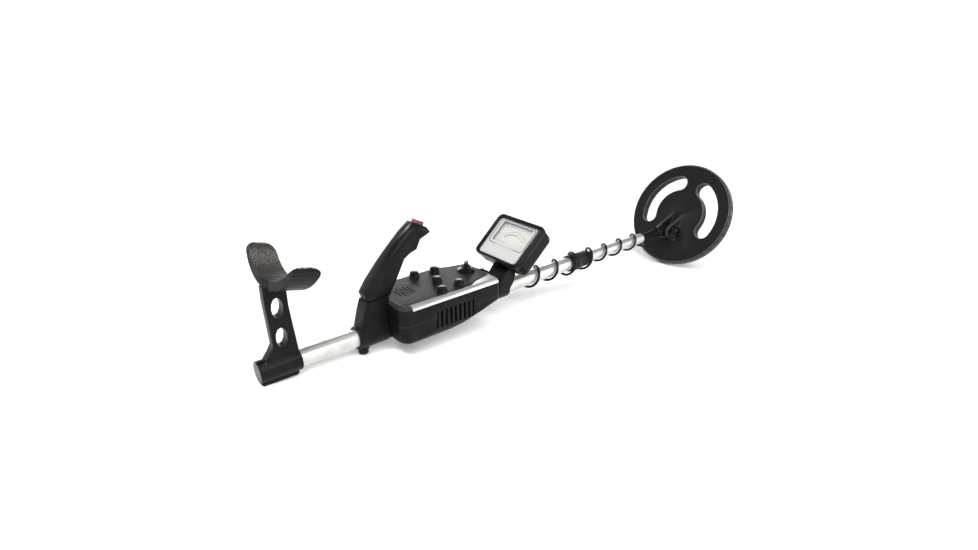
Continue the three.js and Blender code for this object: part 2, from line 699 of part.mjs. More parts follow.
// The coil's own frame: origin at the middle of its upper face, +X up and forward in its plane, +Z out of
// the upper face.
const plate = new THREE.Group();
plate.position.set(coil.x, 0, coil.z);
plate.rotation.y = -coil.tilt;
detector.add(plate);
const toPlate = ([x, z]) => {
  const [dx, dz] = [x - coil.x, z - coil.z];
  const [c, s] = [Math.cos(coil.tilt), Math.sin(coil.tilt)];
  return [dx * c + dz * s, -dx * s + dz * c];
};
const pivotOnPlate = toPlate([pivot.x, 0]);

// A kidney-shaped opening between the hub and the ring, the same on both sides.
function slotShape(side) {
  const middle = (coil.slotIn + coil.slotOut) / 2;
  const half = (coil.slotOut - coil.slotIn) / 2;
  const [a, b] = side > 0 ? slotEnds.left : slotEnds.right;
  const shape = new THREE.Shape();
  shape.absarc(0, 0, middle + half, a, b);
  shape.absarc(middle * Math.cos(b), middle * Math.sin(b), half, b, b + Math.PI);
  shape.absarc(0, 0, middle - half, b, a, true);
  shape.absarc(middle * Math.cos(a), middle * Math.sin(a), half, a + Math.PI, a + 2 * Math.PI);
  return shape;
}
const slots = () => [1, -1].map((side) => prism("z", slotShape(side), -40, 40, { curve: 6 }));
const channel = (from, to) => pipeAlong("z", 95, 80.5, from, to, 0, 0, 18);
const halfThick = coil.thick / 2;

function earPlate(side) {
  const [px, pz] = pivotOnPlate;
  const shape = outline([
    [2, -2], [-6, 6], [px + 5, pz + 9, 3], [px - 5, pz + 10, 5], [px - 11, pz + 2, 4], [px - 13, -2],
  ]);
  const [from, to] = [side * ear.inner, side * ear.outer].sort((p, q) => p - q);
  return prism("y", shape, from, to, { curve: 4 });
}

const glandPlace = { x: -40, y: 24 };

function coilUpper() {
  const discBody = prism("z", disc(coil.radius), -halfThick - 4, 0, { bevel: 2.5, curve: 18 });
  const upper = cut(discBody, block(-120, 120, -120, 120, -40, -halfThick));
  const [px, pz] = pivotOnPlate;
  return cut(
    join(upper, earPlate(1), earPlate(-1)),
    ...slots(), channel(-halfThick - 1, -3), rodAlong("y", 3 + gap, -30, 30, px, pz, 6),
    rodAlong("z", 2.8, -halfThick - 1, 5, glandPlace.x, glandPlace.y, 6),
  );
}
function coilLower() {
  const discBody = prism("z", disc(coil.radius), -coil.thick, -4, { bevel: 2.5, curve: 18 });
  const lower = cut(discBody, block(-120, 120, -120, 120, -halfThick - gap, 40));
  return cut(lower, ...slots(), channel(-coil.thick + 3, 0));
}
add(plate, "coil_upper_shell", coilUpper(), blackPlastic);
add(plate, "coil_lower_shell", coilLower(), blackPlastic);
add(plate, "coil_winding", pipeAlong("z", 91, 84, -coil.thick + 3.6, -8, 0, 0, 16), copper);
add(
  plate, "cable_gland",
  cut(
    turned([[0, gap], [6, gap], [6, 3], [4.5, 4], [3.6, 11], [0, 11]], glandPlace.x, glandPlace.y, 0, 16),
    rodAlong("z", cable.radius + 2 * gap, 2, 20, glandPlace.x, glandPlace.y, 6),
  ),
  softBlack,
);

// ---- coil cable ---------------------------------------------------------------------------------------
// It leaves the plug, runs to the shaft's far side and is wound forward along both tubes.
const surfaceAt = (x) => {
  if (x > stem.front) return stem.radius + 1.6;
  if (x > lock.front) return stem.radius;
  if (x > lock.mid) {
    return THREE.MathUtils.mapLinear(x, lock.mid, lock.front, lock.radius + 0.8, lock.frontRadius + 0.6);
  }
  return x > lock.rear ? lock.radius : shaft.radius;
};
function woundPoint(x) {
  const angle = Math.PI / 2 - (2 * Math.PI * (x - winding.firstTop)) / winding.pitch;
  const near = Math.max(surfaceAt(x - 9), surfaceAt(x + 9));
  const r = near + cable.radius + cable.slack;
  return [x, r * Math.cos(angle), r * Math.sin(angle)];
}
const woundFrom = (from, to) => {
  const count = Math.ceil((to - from) / (winding.pitch / 12));
  return Array.from({ length: count + 1 }, (_, i) => woundPoint(from + ((to - from) * i) / count));
};
const plugEnd = box.front + 26 + gap;
const lead = [
  [plugEnd, socket.y, socket.z], [plugEnd + 8, socket.y, socket.z - 1], [plugEnd + 26, 22, 14],
  [plugEnd + 38, 19.5, 6],
];
add(detector, "coil_cable", cord([...lead, ...woundFrom(cable.start, cable.split)], 56), softBlack);
add(detector, "coil_cable_stem", cord(woundFrom(cable.split + 3 * gap, cable.end), 40), softBlack);
const tailFrom = woundPoint(cable.end + 3 * gap);
const turnToPlate = new THREE.Euler(0, -coil.tilt, 0);
const glandTop = new THREE.Vector3(glandPlace.x, glandPlace.y, 3).applyEuler(turnToPlate).add(plate.position);
const glandWay = new THREE.Vector3(0, 0, 1).applyEuler(turnToPlate);
add(
  detector, "coil_cable_tail",
  cord([
    tailFrom, woundPoint(cable.end + 4), [708, -5, -13.5], [720, 5, -14.5], [735, 14, -12], [751, 20, -9],
    [766, 23.5, -7], [782, 24.5, -6],
    glandTop.clone().addScaledVector(glandWay, 9).toArray(), glandTop.toArray(),
  ], 24),
  softBlack,
);

// ---- standing on the floor ----------------------------------------------------------------------------
// The frame is tipped and lifted so that the rear foot and the coil's rim both touch the floor, with the
// origin below the middle of the whole.
detector.rotation.y = -floorTilt;
detector.updateMatrixWorld(true);
const whole = new THREE.Box3().setFromObject(detector, true);
const middle = whole.getCenter(new THREE.Vector3());
detector.position.set(-middle.x, -middle.y, -whole.min.z);

export default detector;
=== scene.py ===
import json
import math
import bmesh
import bpy
from mathutils import Matrix, Vector

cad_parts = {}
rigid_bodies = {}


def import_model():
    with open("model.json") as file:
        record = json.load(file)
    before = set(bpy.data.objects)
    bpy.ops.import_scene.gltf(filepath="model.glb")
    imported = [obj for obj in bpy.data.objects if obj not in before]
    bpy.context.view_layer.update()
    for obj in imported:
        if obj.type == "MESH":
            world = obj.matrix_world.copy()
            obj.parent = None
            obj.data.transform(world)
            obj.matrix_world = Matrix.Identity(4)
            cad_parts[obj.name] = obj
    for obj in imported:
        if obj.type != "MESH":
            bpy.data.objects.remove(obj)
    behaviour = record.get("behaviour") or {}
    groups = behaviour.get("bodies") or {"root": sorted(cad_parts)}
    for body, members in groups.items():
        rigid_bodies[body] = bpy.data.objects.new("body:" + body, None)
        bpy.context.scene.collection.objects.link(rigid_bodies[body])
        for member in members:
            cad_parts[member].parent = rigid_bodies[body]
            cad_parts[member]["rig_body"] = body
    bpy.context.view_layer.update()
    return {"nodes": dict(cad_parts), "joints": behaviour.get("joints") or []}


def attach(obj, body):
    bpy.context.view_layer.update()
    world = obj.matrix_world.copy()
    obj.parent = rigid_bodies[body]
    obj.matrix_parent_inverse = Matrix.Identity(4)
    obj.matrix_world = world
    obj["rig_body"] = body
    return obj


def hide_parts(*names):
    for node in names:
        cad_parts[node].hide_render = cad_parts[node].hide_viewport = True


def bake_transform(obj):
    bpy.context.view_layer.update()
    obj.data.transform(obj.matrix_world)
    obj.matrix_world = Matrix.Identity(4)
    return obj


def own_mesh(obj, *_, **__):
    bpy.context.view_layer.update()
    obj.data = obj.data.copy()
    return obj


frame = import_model()

# ---- the shaft's own coordinates -------------------------------------------
# Millimetres: x forward along the shaft, y to the left, z up from the shaft's middle line.
joints = {j["name"]: j for j in frame["joints"]}
pivotX = 784.0  # the coil's pivot lies here on the shaft line
shaftWay = Vector(joints["stem_slide"]["axis"]).normalized()
shaftStart = Vector(joints["coil_tilt"]["pos_m"]) - shaftWay * pivotX / 1000
shaftTilt = math.atan2(shaftWay.z, shaftWay.x)
shaftMatrix = Matrix.Translation(shaftStart) @ Matrix.Rotation(-shaftTilt, 4, "Y")


def place(x, y, z):
    return shaftMatrix @ (Vector((x, y, z)) / 1000)


def localFrame(origin, *turns):
    # A part's own frame, given as turns about the shaft's axes, the last one first.
    matrix = shaftMatrix @ Matrix.Translation(Vector(origin) / 1000)
    for angle, axis in turns:
        matrix = matrix @ Matrix.Rotation(angle, 4, axis)
    return matrix


meterFrame = localFrame((366.8, 0, 71), (-0.735, "Y"))  # x up the face, z out of it
coilFrame = localFrame((825.5, 0, 25), (-1.12, "Y"))  # x up and forward, z out of the top
cuffFrame = localFrame((48.5, 0, 149.5), (0.1, "Z"), (0.28, "Y"))

# ---- camera and light ------------------------------------------------------
# Millimetres in the shaft's own coordinates, degrees, and radians for the roll.
view = {"lens": 20.25, "target": (330.66, 0, 26.32), "distance": 795.3, "azimuth": 49.31,
        "elevation": 23.3, "roll": 0.011}


def makeCamera():
    az, el = math.radians(view["azimuth"]), math.radians(view["elevation"])
    back = Vector((-math.cos(el) * math.cos(az), -math.cos(el) * math.sin(az), math.sin(el)))
    right = back.cross(Vector((0, 0, 1))).normalized() * -1
    up = back.cross(right)
    turned = math.cos(view["roll"]) * right + math.sin(view["roll"]) * up
    raised = math.cos(view["roll"]) * up - math.sin(view["roll"]) * right
    turn = Matrix((turned, raised, back)).transposed().to_4x4()
    camera = bpy.data.objects.new("camera", bpy.data.cameras.new("camera"))
    camera.data.lens, camera.data.sensor_width = view["lens"], 36
    camera.data.clip_start, camera.data.clip_end = 0.01, 50
    spot = Vector(view["target"]) + back * view["distance"]
    camera.matrix_world = shaftMatrix @ Matrix.Translation(spot / 1000) @ turn
    bpy.context.collection.objects.link(camera)
    bpy.context.scene.camera = camera


lamps = [  # where it stands and aims, width, height, power, all in metres and watts
    ("keyLamp", (-0.75, -0.1, 1.0), (-0.1, 0.0, 0.1), 0.5, 0.25, 7),
    ("rearLamp", (0.5, 1.3, 0.5), (0.1, 0.0, 0.1), 1.2, 0.14, 8),
    ("sideLamp", (0.9, -1.3, 0.5), (0.1, 0.0, 0.08), 0.6, 0.2, 6),
    ("frontLamp", (-0.1, -1.3, 1.0), (-0.25, 0.0, 0.12), 0.35, 0.35, 3.5),
]
daylight = {"way": (0.35, 0.75, -1.25), "strength": 2.7, "softness": 50, "surround": 0.1}


def makeLights():
    for name, spot, aim, width, height, power in lamps:
        light = bpy.data.lights.new(name, "AREA")
        light.shape, light.size, light.size_y, light.energy = "RECTANGLE", width, height, power
        lamp = bpy.data.objects.new(name, light)
        lamp.location = spot
        lamp.rotation_euler = (Vector(aim) - Vector(spot)).to_track_quat("-Z", "Y").to_euler()
        bpy.context.collection.objects.link(lamp)
    sun = bpy.data.lights.new("softSky", "SUN")
    sun.energy, sun.angle = daylight["strength"], math.radians(daylight["softness"])
    sky = bpy.data.objects.new("softSky", sun)
    sky.rotation_euler = Vector(daylight["way"]).to_track_quat("-Z", "Y").to_euler()
    bpy.context.collection.objects.link(sky)
    world = bpy.data.worlds.new("studio")
    world.use_nodes = True
    world.node_tree.nodes["Background"].inputs["Color"].default_value = (1, 1, 1, 1)
    world.node_tree.nodes["Background"].inputs["Strength"].default_value = daylight["surround"]
    bpy.context.scene.world = world
    bpy.context.scene.view_settings.view_transform = "Standard"


makeCamera()
makeLights()
print("camera and lights made")


# ---- materials -------------------------------------------------------------
class Signal:
    # One output socket, with the sums that are used on it.
    def __init__(self, finish, socket):
        self.finish, self.socket = finish, socket

    def sum(self, operation, first, second):
        return self.finish.add("ShaderNodeMath", {"operation": operation}, {0: first, 1: second})

    def __add__(self, other): return self.sum("ADD", self, other)
    def __radd__(self, other): return self.sum("ADD", other, self)
    def __sub__(self, other): return self.sum("SUBTRACT", self, other)
    def __rsub__(self, other): return self.sum("SUBTRACT", other, self)
    def __mul__(self, other): return self.sum("MULTIPLY", self, other)
    def __truediv__(self, other): return self.sum("DIVIDE", self, other)
    def __pow__(self, other): return self.sum("POWER", self, other)
    def __lt__(self, other): return self.sum("LESS_THAN", self, other)
    def __abs__(self): return self.sum("ABSOLUTE", self, 0.0)
    def most(self, other): return self.sum("MAXIMUM", self, other)
    def least(self, other): return self.sum("MINIMUM", self, other)

    def fade(self, low, high):
        # 0 below low and 1 above high, smooth in between
        return self.finish.add("ShaderNodeMapRange", {"interpolation_type": "SMOOTHSTEP"},
                               {"Value": self, "From Min": low, "From Max": high})

    def parts(self):
        return [self.finish.add("ShaderNodeSeparateXYZ", {}, {0: self}, i) for i in range(3)]


class Finish:
    def __init__(self, name, **constants):
        self.material = bpy.data.materials.new(name)
        self.material.use_nodes = True
        self.tree = self.material.node_tree
        self.tree.nodes.clear()
        self.shader = self.tree.nodes.new("ShaderNodeBsdfPrincipled")
        out = self.tree.nodes.new("ShaderNodeOutputMaterial")
        self.tree.links.new(self.shader.outputs[0], out.inputs[0])
        for key, value in constants.items():
            self.shader.inputs[key.replace("_", " ")].default_value = value

    def add(self, kind, settings, inputs, output=0):
        node = self.tree.nodes.new(kind)
        stops = settings.pop("stops", None)
        for key, value in settings.items():
            setattr(node, key, value)
        if stops:
            ramp = node.color_ramp
            while len(ramp.elements) < len(stops):
                ramp.elements.new(0.5)
            for element, (at, color) in zip(ramp.elements, stops):
                element.position, element.color = at, (*color, 1)
        for key, value in inputs.items():
            self.feed(node.inputs[key], value)
        return Signal(self, node.outputs[output])

    def feed(self, socket, value):
        if isinstance(value, Signal):
            self.tree.links.new(value.socket, socket)
        elif hasattr(value, "__len__") and len(value) == 3 and socket.type == "RGBA":
            socket.default_value = (*value, 1)
        else:
            socket.default_value = value

    def spot(self, matrix=None):
        # Millimetres in the given frame, or in the shaft's own one.
        matrix = matrix or shaftMatrix
        here = self.add("ShaderNodeTexCoord", {}, {}, 3)
        return self.add("ShaderNodeMapping", {"vector_type": "TEXTURE"}, {
            "Vector": here, "Location": matrix.to_translation(),
            "Rotation": matrix.to_euler(), "Scale": (0.001, 0.001, 0.001)})

    def noise(self, at, scale, detail=3.0, rough=0.55):
        return self.add("ShaderNodeTexNoise", {}, {"Vector": at, "Scale": scale, "Detail": detail,
                                                  "Roughness": rough})

    def stretched(self, at, *scale):
        return self.add("ShaderNodeVectorMath", {"operation": "MULTIPLY"}, {0: at, 1: scale})

    def wave(self, value, reach):
        # Up and down between 0 and reach, in straight lines.
        return self.add("ShaderNodeMath", {"operation": "PINGPONG"}, {0: value, 1: reach})

    def blend(self, factor, first, second):
        return self.add("ShaderNodeMix", {"data_type": "RGBA"}, {0: factor, 6: first, 7: second}, 2)

    def surface(self, color=None, rough=None, height=None, depth=0.1, edge=0.4):
        # height is in millimetres of depth; edge is the radius that light sees on sharp corners
        if color is not None:
            self.feed(self.shader.inputs["Base Color"], color)
        if rough is not None:
            self.feed(self.shader.inputs["Roughness"], rough)
        normal = self.add("ShaderNodeBevel", {"samples": 4}, {"Radius": edge / 1000}) if edge else None
        if height is not None:
            inputs = {"Height": height, "Distance": depth / 1000, "Strength": 1.0}
            if normal:
                inputs["Normal"] = normal
            normal = self.add("ShaderNodeBump", {}, inputs)
        if normal:
            self.feed(self.shader.inputs["Normal"], normal)
        return self


def moulded(name, dark, light, rough=0.34, grain=2.2, depth=0.05, edge=0.5, gloss=0.1):
    # Injection-moulded plastic: fine spark-eroded grain, faint flow marks and handling polish.
    f = Finish(name, Specular_IOR_Level=gloss)
    at = f.spot()
    flow = f.noise(at, 0.035, 3)
    polish = f.noise(f.stretched(at, 1, 1, 1.6), 0.12, 4)
    fine = f.noise(at, grain, 2)
    speck = f.noise(at, 4.5, 1).fade(0.66, 0.74)
    color = f.blend(flow.fade(0.35, 0.7) * 0.7 + speck * 0.25, dark, light)
    return f.surface(color, rough + (polish - 0.5) * 0.16 + (fine - 0.5) * 0.06, fine, depth, edge)


def armRestFinish():
    # A little glossier low down, and pebbled inside the cup, where painted sheen greys it and a painted lit
    # band runs across it.
    f = Finish("armRestPlastic", Specular_IOR_Level=0.1)
    at, inCup = f.spot(), f.spot(cuffFrame)
    x, y, z = inCup.parts()
    radial = (y * y + (z - 9) * (z - 9)) ** 0.5
    inside = (1 - radial.fade(58.1, 58.6)) * (abs(x) < 16.6) * (z.fade(-75, -60))
    pebble = f.add("ShaderNodeTexVoronoi", {"feature": "SMOOTH_F1"},
                   {"Vector": at, "Scale": 0.62, "Smoothness": 0.6, "Randomness": 1.0})
    fine, broad = f.noise(at, 2.0, 2), f.noise(at, 0.05, 3)
    low = at.parts()[2].fade(20, 8)
    color = f.blend(broad.fade(0.3, 0.7), (0.0032, 0.0034, 0.0039), (0.0072, 0.0075, 0.0082))
    # painted sheen: the cup's pebbled inside is made greyer than the outside to stand for the light it
    # reflects
    pebbledCupSheen = f.blend(pebble.fade(0.1, 0.7), (0.013, 0.0122, 0.0112), (0.034, 0.0315, 0.0285))
    color = f.blend(inside, color, pebbledCupSheen)
    # painted highlight: a pale lit band across the cup's inner face, broken up by the pebbles
    band = inside * z.fade(-46, -35) * (1 - z.fade(-31, -23))
    color = f.blend(band * pebble.fade(0.15, 0.75), color, (0.10, 0.094, 0.086))
    height = inside * (pebble * -1.0) + (1 - inside) * fine * 0.16
    return f.surface(color, 0.36 + inside * 0.13 + (fine - 0.5) * 0.08 - low * 0.1, height, 0.35, 0.6)


def gripFinish():
    # Satin grip: a seam groove near the back and a checkered patch under the fingers.
    f = Finish("gripPlastic", Specular_IOR_Level=0.1)
    at = f.spot()
    x, y, z = at.parts()
    along, across = x * 0.70 + z * 0.714, x * 0.714 - z * 0.70
    check = f.wave(along + y * 0.9, 1.0).least(f.wave(along - y * 0.9, 1.0))
    patch = across.fade(52, 54) * z.fade(60, 63) * (1 - z.fade(104, 107)) * (1 - abs(y).fade(9.5, 10.5))
    fine, broad = f.noise(at, 2.4, 2), f.noise(at, 0.045, 3)
    color = f.blend(broad.fade(0.3, 0.7), (0.0034, 0.0036, 0.0042), (0.0078, 0.0082, 0.0092))
    groove = (1 - abs(abs(y) - 8.6).fade(0.2, 0.8)) * (1 - across.fade(30, 34))
    height = (1 - patch) * fine * 0.12 + patch * check - groove
    return f.surface(color, 0.29 + broad * 0.1 + patch * 0.15, height, 0.3, 0.8)


def housingFinish():
    # The control box: satin sides, greyer along the top bevel towards the rear.
    f = Finish("housingPlastic", Specular_IOR_Level=0.1)
    at = f.spot()
    x, y, z = at.parts()
    fine, broad = f.noise(at, 2.6, 2), f.noise(at, 0.04, 3)
    bevel = z.fade(37.2, 38.4) * (1 - x.fade(172, 176))
    color = f.blend(broad.fade(0.3, 0.75), (0.0032, 0.0034, 0.0038), (0.007, 0.0072, 0.008))
    color = f.blend(bevel * 0.6, color, (0.035, 0.035, 0.037))
    # painted highlight: a paler line just below the seam groove stands for light caught by its lower lip
    seam = 1 - abs(z - 16).fade(0.25, 1.0)
    color = f.blend(seam * (z < 15.9) * 0.5, color, (0.05, 0.05, 0.052))
    return f.surface(color, 0.36 + (broad - 0.5) * 0.18 - seam * 0.1, fine * 0.1 - seam, 0.6, 0.6)


def outlineOf(x, y, corners):
    # Distance outside a convex outline whose corners go clockwise, in millimetres.
    found = None
    for (ax, ay), (bx, by) in zip(corners, corners[1:] + corners[:1]):
        length = math.hypot(bx - ax, by - ay)
        nx, ny = -(by - ay) / length, (bx - ax) / length
        side = x * nx + y * ny - (nx * ax + ny * ay)
        found = side if found is None else found.most(side)
    return found


def panelFinish():
    # Mottled dark grey sheet with an embossed four-sided outline behind the knobs.
    f = Finish("panelPaint", Specular_IOR_Level=0.1)
    at = f.spot()
    x, y, z = at.parts()
    edge = outlineOf(x, y, [(196, 30), (207, 17), (209, -14), (172, -21)])
    line = 1 - abs(edge).fade(0.35, 1.1)
    within = 1 - edge.fade(-0.6, 0.2)
    mottle = f.noise(at, 0.42, 4, 0.7)
    fine = f.noise(at, 3.2, 2)
    color = f.blend(mottle.fade(0.38, 0.66), (0.006, 0.006, 0.0058), (0.02, 0.02, 0.0188))
    color = f.blend(line * 0.35, color, (0.06, 0.06, 0.056))
    height = mottle * 0.35 + line * 0.9 + within * 0.1 + fine * 0.15
    return f.surface(color, 0.5 + (mottle - 0.5) * 0.3, height, 0.3, 0.3)


def tubeFinish():
    # Satin anodised tube, drawn lengthwise, slightly greenish.
    f = Finish("anodisedTube", Metallic=0.85)
    at = f.spot()
    drawn = f.noise(f.stretched(at, 0.01, 1.6, 1.6), 1.0, 4, 0.6)
    smudge = f.noise(at, 0.05, 4)
    color = f.blend(smudge.fade(0.3, 0.7), (0.50, 0.515, 0.485), (0.60, 0.615, 0.585))
    return f.surface(color, 0.42 + drawn * 0.08 + smudge.fade(0.5, 0.8) * 0.06, drawn, 0.004, 0)


def silverFinish(name, matrix, stretch, tone, metal, window=False):
    # Brushed silver, the brush marks long where stretch is small; the face plate has its window's outline.
    f = Finish(name, Metallic=metal)
    at = f.spot(matrix)
    x, y, z = at.parts()
    brush = f.noise(f.stretched(at, *stretch), 1.0, 4, 0.65)
    cloud = f.noise(at, 0.05, 3)
    color = f.blend(brush.fade(0.3, 0.7), tuple(v * 0.86 for v in tone), tone)
    height = brush * 0.25
    if window:
        # a thin painted line with round corners round the window, thinner below its middle
        ax, ay = abs(x - 9.5) - 14.5, abs(y) - 29.5
        corner = (ax.most(0.0) ** 2 + ay.most(0.0) ** 2) ** 0.5 + ax.most(ay).least(0.0) - 6
        line = 1 - abs(corner).fade(0.45, 0.85)
        line = line * (1 - (x < -5) * (1 - abs(y).fade(12, 24)) * 0.7)
        color = f.blend(line * 0.9, color, (0.05, 0.05, 0.05))
        height = height - line * 0.6
    return f.surface(color, 0.3 + (brush - 0.5) * 0.16 + cloud * 0.08, height, 0.06, 0.3)


def dialFinish():
    # Pale card: a coloured band round the needle's axis, from grey through red and yellow to green.
    f = Finish("dialCard", Roughness=0.6)
    at = f.spot(meterFrame)
    x, y, z = at.parts()
    far, side = x + 12, y
    radius = (far * far + side * side) ** 0.5
    angle = f.add("ShaderNodeMath", {"operation": "ARCTAN2"}, {0: side, 1: far})
    share = 0.5 - angle / 1.7
    band = radius.fade(24.6, 25.0) * (1 - radius.fade(26.9, 27.3)) * (1 - abs(angle).fade(0.82, 0.84))
    ring = (1 - abs(radius - 30).fade(0.12, 0.3)) * (1 - abs(angle).fade(0.86, 0.88))
    tint = f.add("ShaderNodeValToRGB", {"stops": [
        (0.0, (0.10, 0.10, 0.10)), (0.3, (0.15, 0.13, 0.12)), (0.5, (0.36, 0.13, 0.10)),
        (0.68, (0.42, 0.36, 0.12)), (1.0, (0.28, 0.36, 0.12))]}, {"Fac": share})
    paper = f.noise(at, 1.2, 4)
    color = f.blend(paper.fade(0.3, 0.7), (0.43, 0.435, 0.42), (0.50, 0.505, 0.485))
    color = f.blend(band * 0.85, color, tint)
    color = f.blend(ring * 0.8, color, (0.05, 0.05, 0.05))
    return f.surface(color, None, paper, 0.02, 0)


def coilFinish():
    # The search coil: satin and scuffed, with faint turned rings, and a painted highlight making its rim and
    # parting line paler.
    f = Finish("coilPlastic", Specular_IOR_Level=0.1)
    at = f.spot(coilFrame)
    x, y, z = at.parts()
    radius = (x * x + y * y) ** 0.5
    rings = f.wave(radius, 0.9)
    scuff = f.noise(f.stretched(at, 0.2, 0.9, 1), 0.35, 5, 0.7).fade(0.6, 0.8)
    fine = f.noise(at, 2.2, 2)
    # painted highlight: the rim and the parting line are made paler to stand for their lit edges; the scuffs
    # are real wear
    rim = radius.fade(96.5, 98.5)
    partingLineAndHighlight = (1 - abs(z + 8.6).fade(0.3, 0.9)) * radius.fade(98.5, 99.2)
    scuffsAndEdgeHighlight = scuff * 0.35 + rim * 0.3 + partingLineAndHighlight * 0.4
    color = f.blend(scuffsAndEdgeHighlight, (0.0085, 0.0088, 0.0092), (0.036, 0.0364, 0.037))
    height = fine * 0.08 + rings * 0.015 - partingLineAndHighlight
    return f.surface(color, 0.38 + scuff * 0.14 - rim * 0.12, height, 0.5, 1.1)


def rubbery(name, color, rough=0.55, scale=1.6, depth=0.08, edge=0.4):
    f = Finish(name, Specular_IOR_Level=0.18)
    at = f.spot()
    grain, dust = f.noise(at, scale, 4, 0.7), f.noise(at, 0.09, 4)
    pale = tuple(v * 1.8 + 0.003 for v in color)
    dusty = f.blend(dust.fade(0.45, 0.8) * 0.6, color, pale)
    return f.surface(dusty, rough + (grain - 0.5) * 0.2, grain, depth, edge)


def buttonFinish():
    f = Finish("redPlastic", Coat_Weight=0.35, Coat_Roughness=0.12)
    at = f.spot()
    cloud, fine = f.noise(at, 0.35, 3), f.noise(at, 3.0, 2)
    return f.surface(f.blend(cloud.fade(0.3, 0.7), (0.11, 0.006, 0.005), (0.17, 0.01, 0.008)),
                     0.3 + (cloud - 0.5) * 0.15, fine, 0.03, 0.4)


def metalFinish(name, dark, light, rough, scale=0.8):
    f = Finish(name, Metallic=1.0)
    at = f.spot()
    wear, fine = f.noise(at, scale, 4, 0.65), f.noise(at, 4.0, 3)
    return f.surface(f.blend(wear.fade(0.35, 0.7), dark, light), rough + (wear - 0.5) * 0.2, fine, 0.015, 0.2)


def lensFinish():
    f = Finish("clearLens", Base_Color=(0.95, 0.97, 0.97, 1), Specular_IOR_Level=0.6, Coat_Weight=0.4)
    at = f.spot(meterFrame)
    smear = f.noise(at, 0.12, 4)
    f.feed(f.shader.inputs["Alpha"], 0.07 + smear.fade(0.5, 0.85) * 0.05)
    return f.surface(None, 0.04 + smear * 0.05, None, 0, 0)


def boardFinish():
    f = Finish("circuitBoard")
    at = f.spot()
    x, y, z = at.parts()
    track = f.add("ShaderNodeTexBrick", {}, {
        "Vector": at, "Scale": 0.22, "Mortar Size": 0.03, "Color1": (0, 0, 0, 1),
        "Color2": (0, 0, 0, 1), "Mortar": (1, 1, 1, 1)}, 1)
    color = f.blend(track * 0.5, (0.012, 0.07, 0.025), (0.03, 0.16, 0.06))
    return f.surface(color, 0.4 + f.noise(at, 1.0) * 0.1, track, 0.04, 0)


finishes = {
    "black": moulded("blackPlastic", (0.0035, 0.0037, 0.0042), (0.0075, 0.0078, 0.0085)),
    "knob": moulded("knobPlastic", (0.003, 0.003, 0.0035), (0.006, 0.006, 0.007),
                    0.26, 3.0, 0.02, 0.5, 0.14),
    "meter": moulded("meterPlastic", (0.0045, 0.0047, 0.0052), (0.0095, 0.0097, 0.0108),
                     0.34, 2.4, 0.05, 1.0),
    "lock": moulded("lockPlastic", (0.008, 0.0083, 0.009), (0.016, 0.0165, 0.0175),
                    0.38, 1.8, 0.08, 0.5),
    "arm": armRestFinish(), "grip": gripFinish(), "housing": housingFinish(), "panel": panelFinish(),
    "tube": tubeFinish(), "coil": coilFinish(), "dial": dialFinish(), "lens": lensFinish(),
    "trim": silverFinish("trimPaint", shaftMatrix, (0.05, 1.2, 1.2), (0.58, 0.59, 0.59), 0.8),
    "plate": silverFinish("facePlateMetal", meterFrame, (1.6, 0.05, 1.0), (0.52, 0.525, 0.51), 0.1, True),
    "soft": rubbery("softBlack", (0.004, 0.0041, 0.0045)),
    "cable": rubbery("cableJacket", (0.004, 0.0041, 0.0045), 0.36, 1.2, 0.04, 0),
    "red": buttonFinish(),
    "steel": metalFinish("platedSteel", (0.48, 0.48, 0.47), (0.66, 0.66, 0.65), 0.24),
    "brass": metalFinish("plainBrass", (0.52, 0.36, 0.12), (0.72, 0.52, 0.22), 0.28),
    "copper": metalFinish("enamelledWire", (0.40, 0.13, 0.05), (0.58, 0.24, 0.10), 0.32, 0.5),
    "board": boardFinish(),
    "battery": metalFinish("batteryCan", (0.10, 0.11, 0.13), (0.17, 0.19, 0.22), 0.4, 0.2),
    "mark": rubbery("paleMark", (0.55, 0.55, 0.53), 0.5, 2.0, 0.02, 0),
    "faintMark": rubbery("faintMark", (0.12, 0.12, 0.12), 0.4, 2.0, 0.02, 0),
    # painted highlight: pale beads on the coil's edges stand for the light caught by those edges
    "coilEdge": moulded("paintedEdgeHighlight", (0.09, 0.092, 0.094), (0.125, 0.127, 0.13),
                        0.3, 1.4, 0.02, 0, 0.6),
    "tick": rubbery("darkMark", (0.03, 0.03, 0.03), 0.6, 2.0, 0.02, 0),
}
print(len(finishes), "finishes made")


# ---- pieces made from the solid model --------------------------------------
def bodyOf(node):
    return frame["nodes"][node]["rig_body"]


def newPiece(name, mesh, finish, body=None):
    piece = bpy.data.objects.new(name, mesh)
    bpy.context.collection.objects.link(piece)
    mesh.materials.clear()
    mesh.materials.append(finishes[finish].material)
    if body:
        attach(piece, body)
    return piece


def rounded(node, finish, smoothTo=32):
    # A copy of a node with joined faces and soft curves, which is what shows.
    mesh = frame["nodes"][node].data.copy()
    bm = bmesh.new()
    bm.from_mesh(mesh)
    bmesh.ops.remove_doubles(bm, verts=bm.verts, dist=2e-6)
    bm.to_mesh(mesh)
    bm.free()
    for polygon in mesh.polygons:
        polygon.use_smooth = True
    mesh.set_sharp_from_angle(angle=math.radians(smoothTo))
    holder = bpy.data.objects.new(node + "_seed", mesh)
    bpy.context.collection.objects.link(holder)
    evening = holder.modifiers.new("evening", "WEIGHTED_NORMAL")  # flat faces stay flat beside their bevels
    evening.keep_sharp, evening.weight = True, 90
    shown = holder.evaluated_get(bpy.context.evaluated_depsgraph_get())
    even = bpy.data.meshes.new_from_object(shown)
    bpy.data.objects.remove(holder)
    even.name = node + "_shape"
    piece = newPiece(node + "_shape", even, finish, bodyOf(node))
    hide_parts(node)
    return piece


